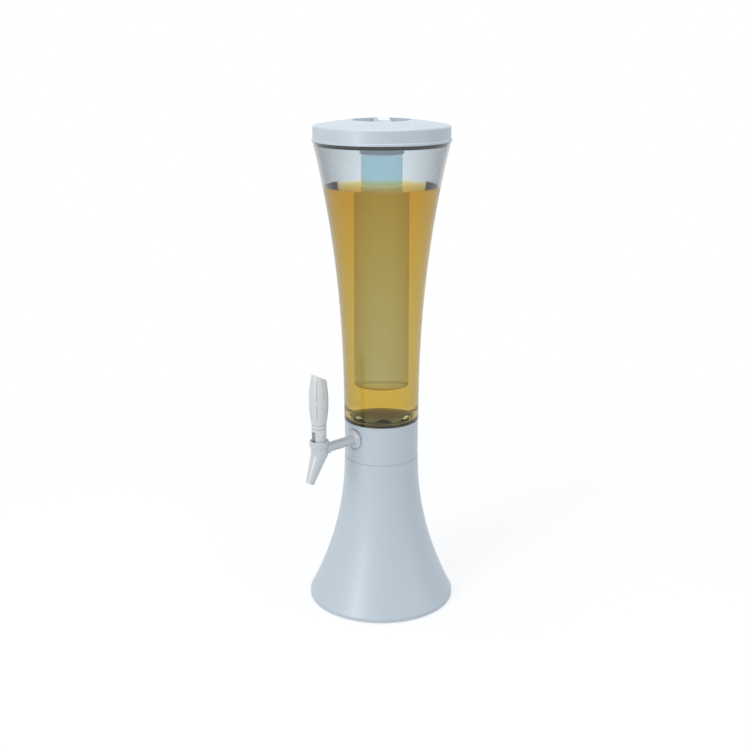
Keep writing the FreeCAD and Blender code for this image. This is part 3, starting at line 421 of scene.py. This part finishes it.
# Painted shade: the foot's rim faces pass light through a grey tint, so a dark line shows at the tube's
# bottom.
tube_foot_painted_shade = wetted("painted_shade_at_the_tube_foot", "#CBC8BF")
for made in (blue_plastic, wet_tube, inner_tube, tube_foot_painted_shade):
    tube_wall.data.materials.append(made)
for face in tube_wall.data.polygons:
    middle = face.center * 1000
    reach = math.hypot(middle.x, middle.y)
    bend = math.hypot(max(0.0, reach - foot_r), min(0.0, middle.z - foot_z))
    at_foot = middle.z < foot_z
    outer = reach > tube_r - TUBE_WALL / 2 or (at_foot and bend > TUBE_CORNER - TUBE_WALL / 2)
    if outer and middle.z < DRINK_LEVEL:
        face.material_index = 3 if at_foot and reach > foot_r else 1
    if not outer and middle.z < ICE_WATER_TOP:
        face.material_index = 2
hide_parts("ice_tube")

# Ice water: the melted ice that fills the tube. It is clear and faintly blue from the tube's tint.
# Its skin lies just inside the tube's wall and bends light from plastic to water.
LIQUID_SKIN = 0.05
WATER_IOR = 1.33
MATCHED_IOR = 1.01  # soft blue plastic bends light almost as the liquids do


def new_liquid(name, density, code):
    """Liquid that takes up light inside; the shader of its skin is linked by the caller."""
    made = bpy.data.materials.new(name)
    made.use_nodes = True
    tree = made.node_tree
    tree.nodes.remove(tree.nodes["Principled BSDF"])
    soak = add(tree, "ShaderNodeVolumeAbsorption", Density=density, Color=linear(code))
    tree.links.new(soak.outputs[0], tree.nodes["Material Output"].inputs["Volume"])
    place = add(tree, "ShaderNodeTexCoord").outputs["Object"]
    return made, tree, place, add(tree, "ShaderNodeSeparateXYZ", [("Vector", place)]).outputs["Z"]


water_line = [(0, ICE_WATER_TOP)] + tube_inside(LIQUID_SKIN)
ice_water = spun("ice_water", water_line, "chiller")
water, tree, _, height = new_liquid("pale_blue_ice_water", 4.0, "#CBF3FF")
level = [(0, height), (1, DRINK_LEVEL / 1000)]
above_drink = add(tree, "ShaderNodeMath", level, operation="GREATER_THAN").outputs[0]
in_drink = add(tree, "ShaderNodeBsdfGlass", IOR=MATCHED_IOR, Roughness=0.0).outputs[0]
in_air = add(tree, "ShaderNodeBsdfGlass", IOR=WATER_IOR / ACRYLIC_IOR, Roughness=0.0).outputs[0]
skin = add(tree, "ShaderNodeMixShader", [(0, above_drink), (1, in_drink), (2, in_air)])
tree.links.new(skin.outputs[0], tree.nodes["Material Output"].inputs["Surface"])
ice_water.data.materials.append(water)

# Drink: the golden drink that fills the tank to 57 mm under its mouth, round the ice tube and down
# through the strainer and the outlet. It takes up blue light first, so it deepens where it is thick.
# Its still surface mirrors little of the room, as the lid shades it.
DRINK_IOR = 1.34
CUP_FLOOR = 235.2
SURFACE_MIRROR = 0.1
TUBE_MARGIN = 1.0  # parts the faces round the tube from the faces at the tank
drink_line = tube_outside(LIQUID_SKIN)
drink_line += [(tank_r(z) - TANK_WALL - LIQUID_SKIN, z) for z in reversed(wet_heights)]
drink_line += round_run(corner_r, corner_top, FLOOR_CORNER - LIQUID_SKIN, 0, -90, CORNER_STEPS)[1:]
outlet_skin = OUTLET_R - LIQUID_SKIN
drink_line += [(outlet_skin, floor_top + LIQUID_SKIN), (outlet_skin, CUP_FLOOR), (0, CUP_FLOOR)]
drink = spun("drink", drink_line, "tower")
golden, tree, place, height = new_liquid("golden_drink", 36.0, "#F5E343")
level_place = add(tree, "ShaderNodeVectorMath", [(0, place), (1, (1, 1, 0))], operation="MULTIPLY")
reach = add(tree, "ShaderNodeVectorMath", [(0, level_place.outputs[0])], operation="LENGTH")
past_tube = [(0, reach.outputs["Value"]), (1, (tube_r + TUBE_MARGIN) / 1000)]
at_tank = add(tree, "ShaderNodeMath", past_tube, operation="GREATER_THAN").outputs[0]
level = [(0, height), (1, (DRINK_LEVEL - LIQUID_SKIN / 2) / 1000)]
at_top = add(tree, "ShaderNodeMath", level, operation="GREATER_THAN").outputs[0]
from_above = add(tree, "ShaderNodeBsdfTransparent").outputs[0]
open_skin = add(tree, "ShaderNodeBsdfGlass", IOR=DRINK_IOR, Roughness=0.0).outputs[0]
tank_skin = add(tree, "ShaderNodeBsdfGlass", IOR=DRINK_IOR / ACRYLIC_IOR, Roughness=0.0).outputs[0]
tube_skin = add(tree, "ShaderNodeBsdfGlass", IOR=MATCHED_IOR, Roughness=0.0).outputs[0]
still = add(tree, "ShaderNodeMixShader", [(0, SURFACE_MIRROR), (1, from_above), (2, open_skin)])
from_inside = add(tree, "ShaderNodeNewGeometry").outputs["Backfacing"]
surface = add(tree, "ShaderNodeMixShader", [(0, from_inside), (1, still.outputs[0]), (2, open_skin)])
side = add(tree, "ShaderNodeMixShader", [(0, at_tank), (1, tube_skin), (2, tank_skin)])
skin = add(tree, "ShaderNodeMixShader", [(0, at_top), (1, side.outputs[0]), (2, surface.outputs[0])])
tree.links.new(skin.outputs[0], tree.nodes["Material Output"].inputs["Surface"])
drink.data.materials.append(golden)

# Camera: at the photo's viewing angle, 16 degrees above level and 47 degrees round from the tap.
# Its place and focal length were fitted to the outline of the object in the photo.
IMAGE_WIDTH = 750
FOCAL_PIXELS = 1146.7
SENSOR_WIDTH = 36.0
CAMERA_AZIMUTH = 47.0
CAMERA_DIP = 16.34
CAMERA_PLACE = (1.08225, -1.02108, 0.7563)
FLOOR_SIZE = 30.0
camera_data = bpy.data.cameras.new("camera")
camera_data.sensor_width = SENSOR_WIDTH
camera_data.lens = FOCAL_PIXELS / IMAGE_WIDTH * SENSOR_WIDTH
camera_data.clip_end = 2 * FLOOR_SIZE
camera = bpy.data.objects.new("camera", camera_data)
camera.location = CAMERA_PLACE
camera.rotation_euler = (math.radians(90 - CAMERA_DIP), 0, math.radians(CAMERA_AZIMUTH))
bpy.context.scene.collection.objects.link(camera)
bpy.context.scene.camera = camera

# Floor and backdrop: a white sheet and a white room. What looks at them directly, in a mirror or
# through glass sees white; the sheet still darkens where the tower keeps the light off it.
NEAR_SHADE = 0.3
FAR_SHADE = 1.2
PAPER_GLOW = 0.62
ROOM_LEVEL = 0.64


def sees_white(tree):
    """1 for rays from the camera, from mirror-like faces and through clear ones."""
    ray = add(tree, "ShaderNodeLightPath").outputs
    direct = [(0, ray["Is Camera Ray"]), (1, ray["Is Glossy Ray"])]
    both = add(tree, "ShaderNodeMath", direct, operation="MAXIMUM").outputs[0]
    every = [(0, both), (1, ray["Is Transmission Ray"])]
    return add(tree, "ShaderNodeMath", every, operation="MAXIMUM").outputs[0]


bpy.ops.mesh.primitive_plane_add(size=FLOOR_SIZE)
floor = bpy.context.object
floor.name = "floor"
paper = bpy.data.materials.new("white_paper")
paper.use_nodes = True
tree = paper.node_tree
tree.nodes.remove(tree.nodes["Principled BSDF"])
place = add(tree, "ShaderNodeTexCoord").outputs["Object"]
reach = ("Value", add(tree, "ShaderNodeVectorMath", [(0, place)], operation="LENGTH").outputs["Value"])
far = add(tree, "ShaderNodeMapRange", [reach], From_Min=NEAR_SHADE, From_Max=FAR_SHADE).outputs["Result"]
glow = add(tree, "ShaderNodeEmission", Strength=PAPER_GLOW).outputs[0]
shaded = add(tree, "ShaderNodeBsdfDiffuse", Color=linear("#AEAEAE")).outputs[0]
near_paper = add(tree, "ShaderNodeAddShader", [(0, glow), (1, shaded)]).outputs[0]
far_paper = add(tree, "ShaderNodeEmission", Strength=1.0).outputs[0]
seen_paper = add(tree, "ShaderNodeMixShader", [(0, far), (1, near_paper), (2, far_paper)]).outputs[0]
plain = add(tree, "ShaderNodeBsdfDiffuse", Color=linear("#E7E7E7")).outputs[0]
sheet = add(tree, "ShaderNodeMixShader", [(0, sees_white(tree)), (1, plain), (2, seen_paper)])
tree.links.new(sheet.outputs[0], tree.nodes["Material Output"].inputs["Surface"])
floor.data.materials.append(paper)

room = bpy.data.worlds.new("white_room")
bpy.context.scene.world = room
room.use_nodes = True
tree = room.node_tree
room_light = [part * ROOM_LEVEL for part in linear("#EEF4FB")[:3]] + [1.0]
colours = [("Factor", sees_white(tree)), (6, room_light), (7, linear("#FFFFFF"))]
shown = add(tree, "ShaderNodeMix", colours, data_type="RGBA")
tree.links.new(shown.outputs[2], tree.nodes["Background"].inputs["Color"])

# Lamps: a tall soft box at the left, a wide one overhead for the lid's bright top, and a small one
# at the right. None of them shows through clear plastic, where it would draw streaks in the drink.
forward = Vector((math.sin(math.radians(CAMERA_AZIMUTH)), -math.cos(math.radians(CAMERA_AZIMUTH)), 0))
right = Vector((-forward.y, forward.x, 0))
AIM = Vector((0, 0, 0.33))


def lamp(name, side_deg, distance, height, width, tall, watts):
    """Rectangular area lamp at an angle to the right of the camera, aimed at the tower's middle."""
    turn = math.radians(side_deg)
    data = bpy.data.lights.new(name, "AREA")
    data.shape = "RECTANGLE"
    data.size = width
    data.size_y = tall
    data.energy = watts
    made = bpy.data.objects.new(name, data)
    made.location = (forward * math.cos(turn) + right * math.sin(turn)) * distance + Vector((0, 0, height))
    made.rotation_mode = "QUATERNION"
    made.rotation_quaternion = (AIM - made.location).to_track_quat("-Z", "Y")
    made.visible_transmission = False
    bpy.context.scene.collection.objects.link(made)


lamp("left_soft_box", -42, 1.7, 0.9, 0.6, 1.3, 9.2)
lamp("overhead_soft_box", 0, 0.1, 2.0, 1.4, 1.4, 13)
lamp("right_soft_box", 64, 1.8, 0.6, 0.5, 0.5, 1.0)

bpy.context.scene.view_settings.view_transform = "Standard"
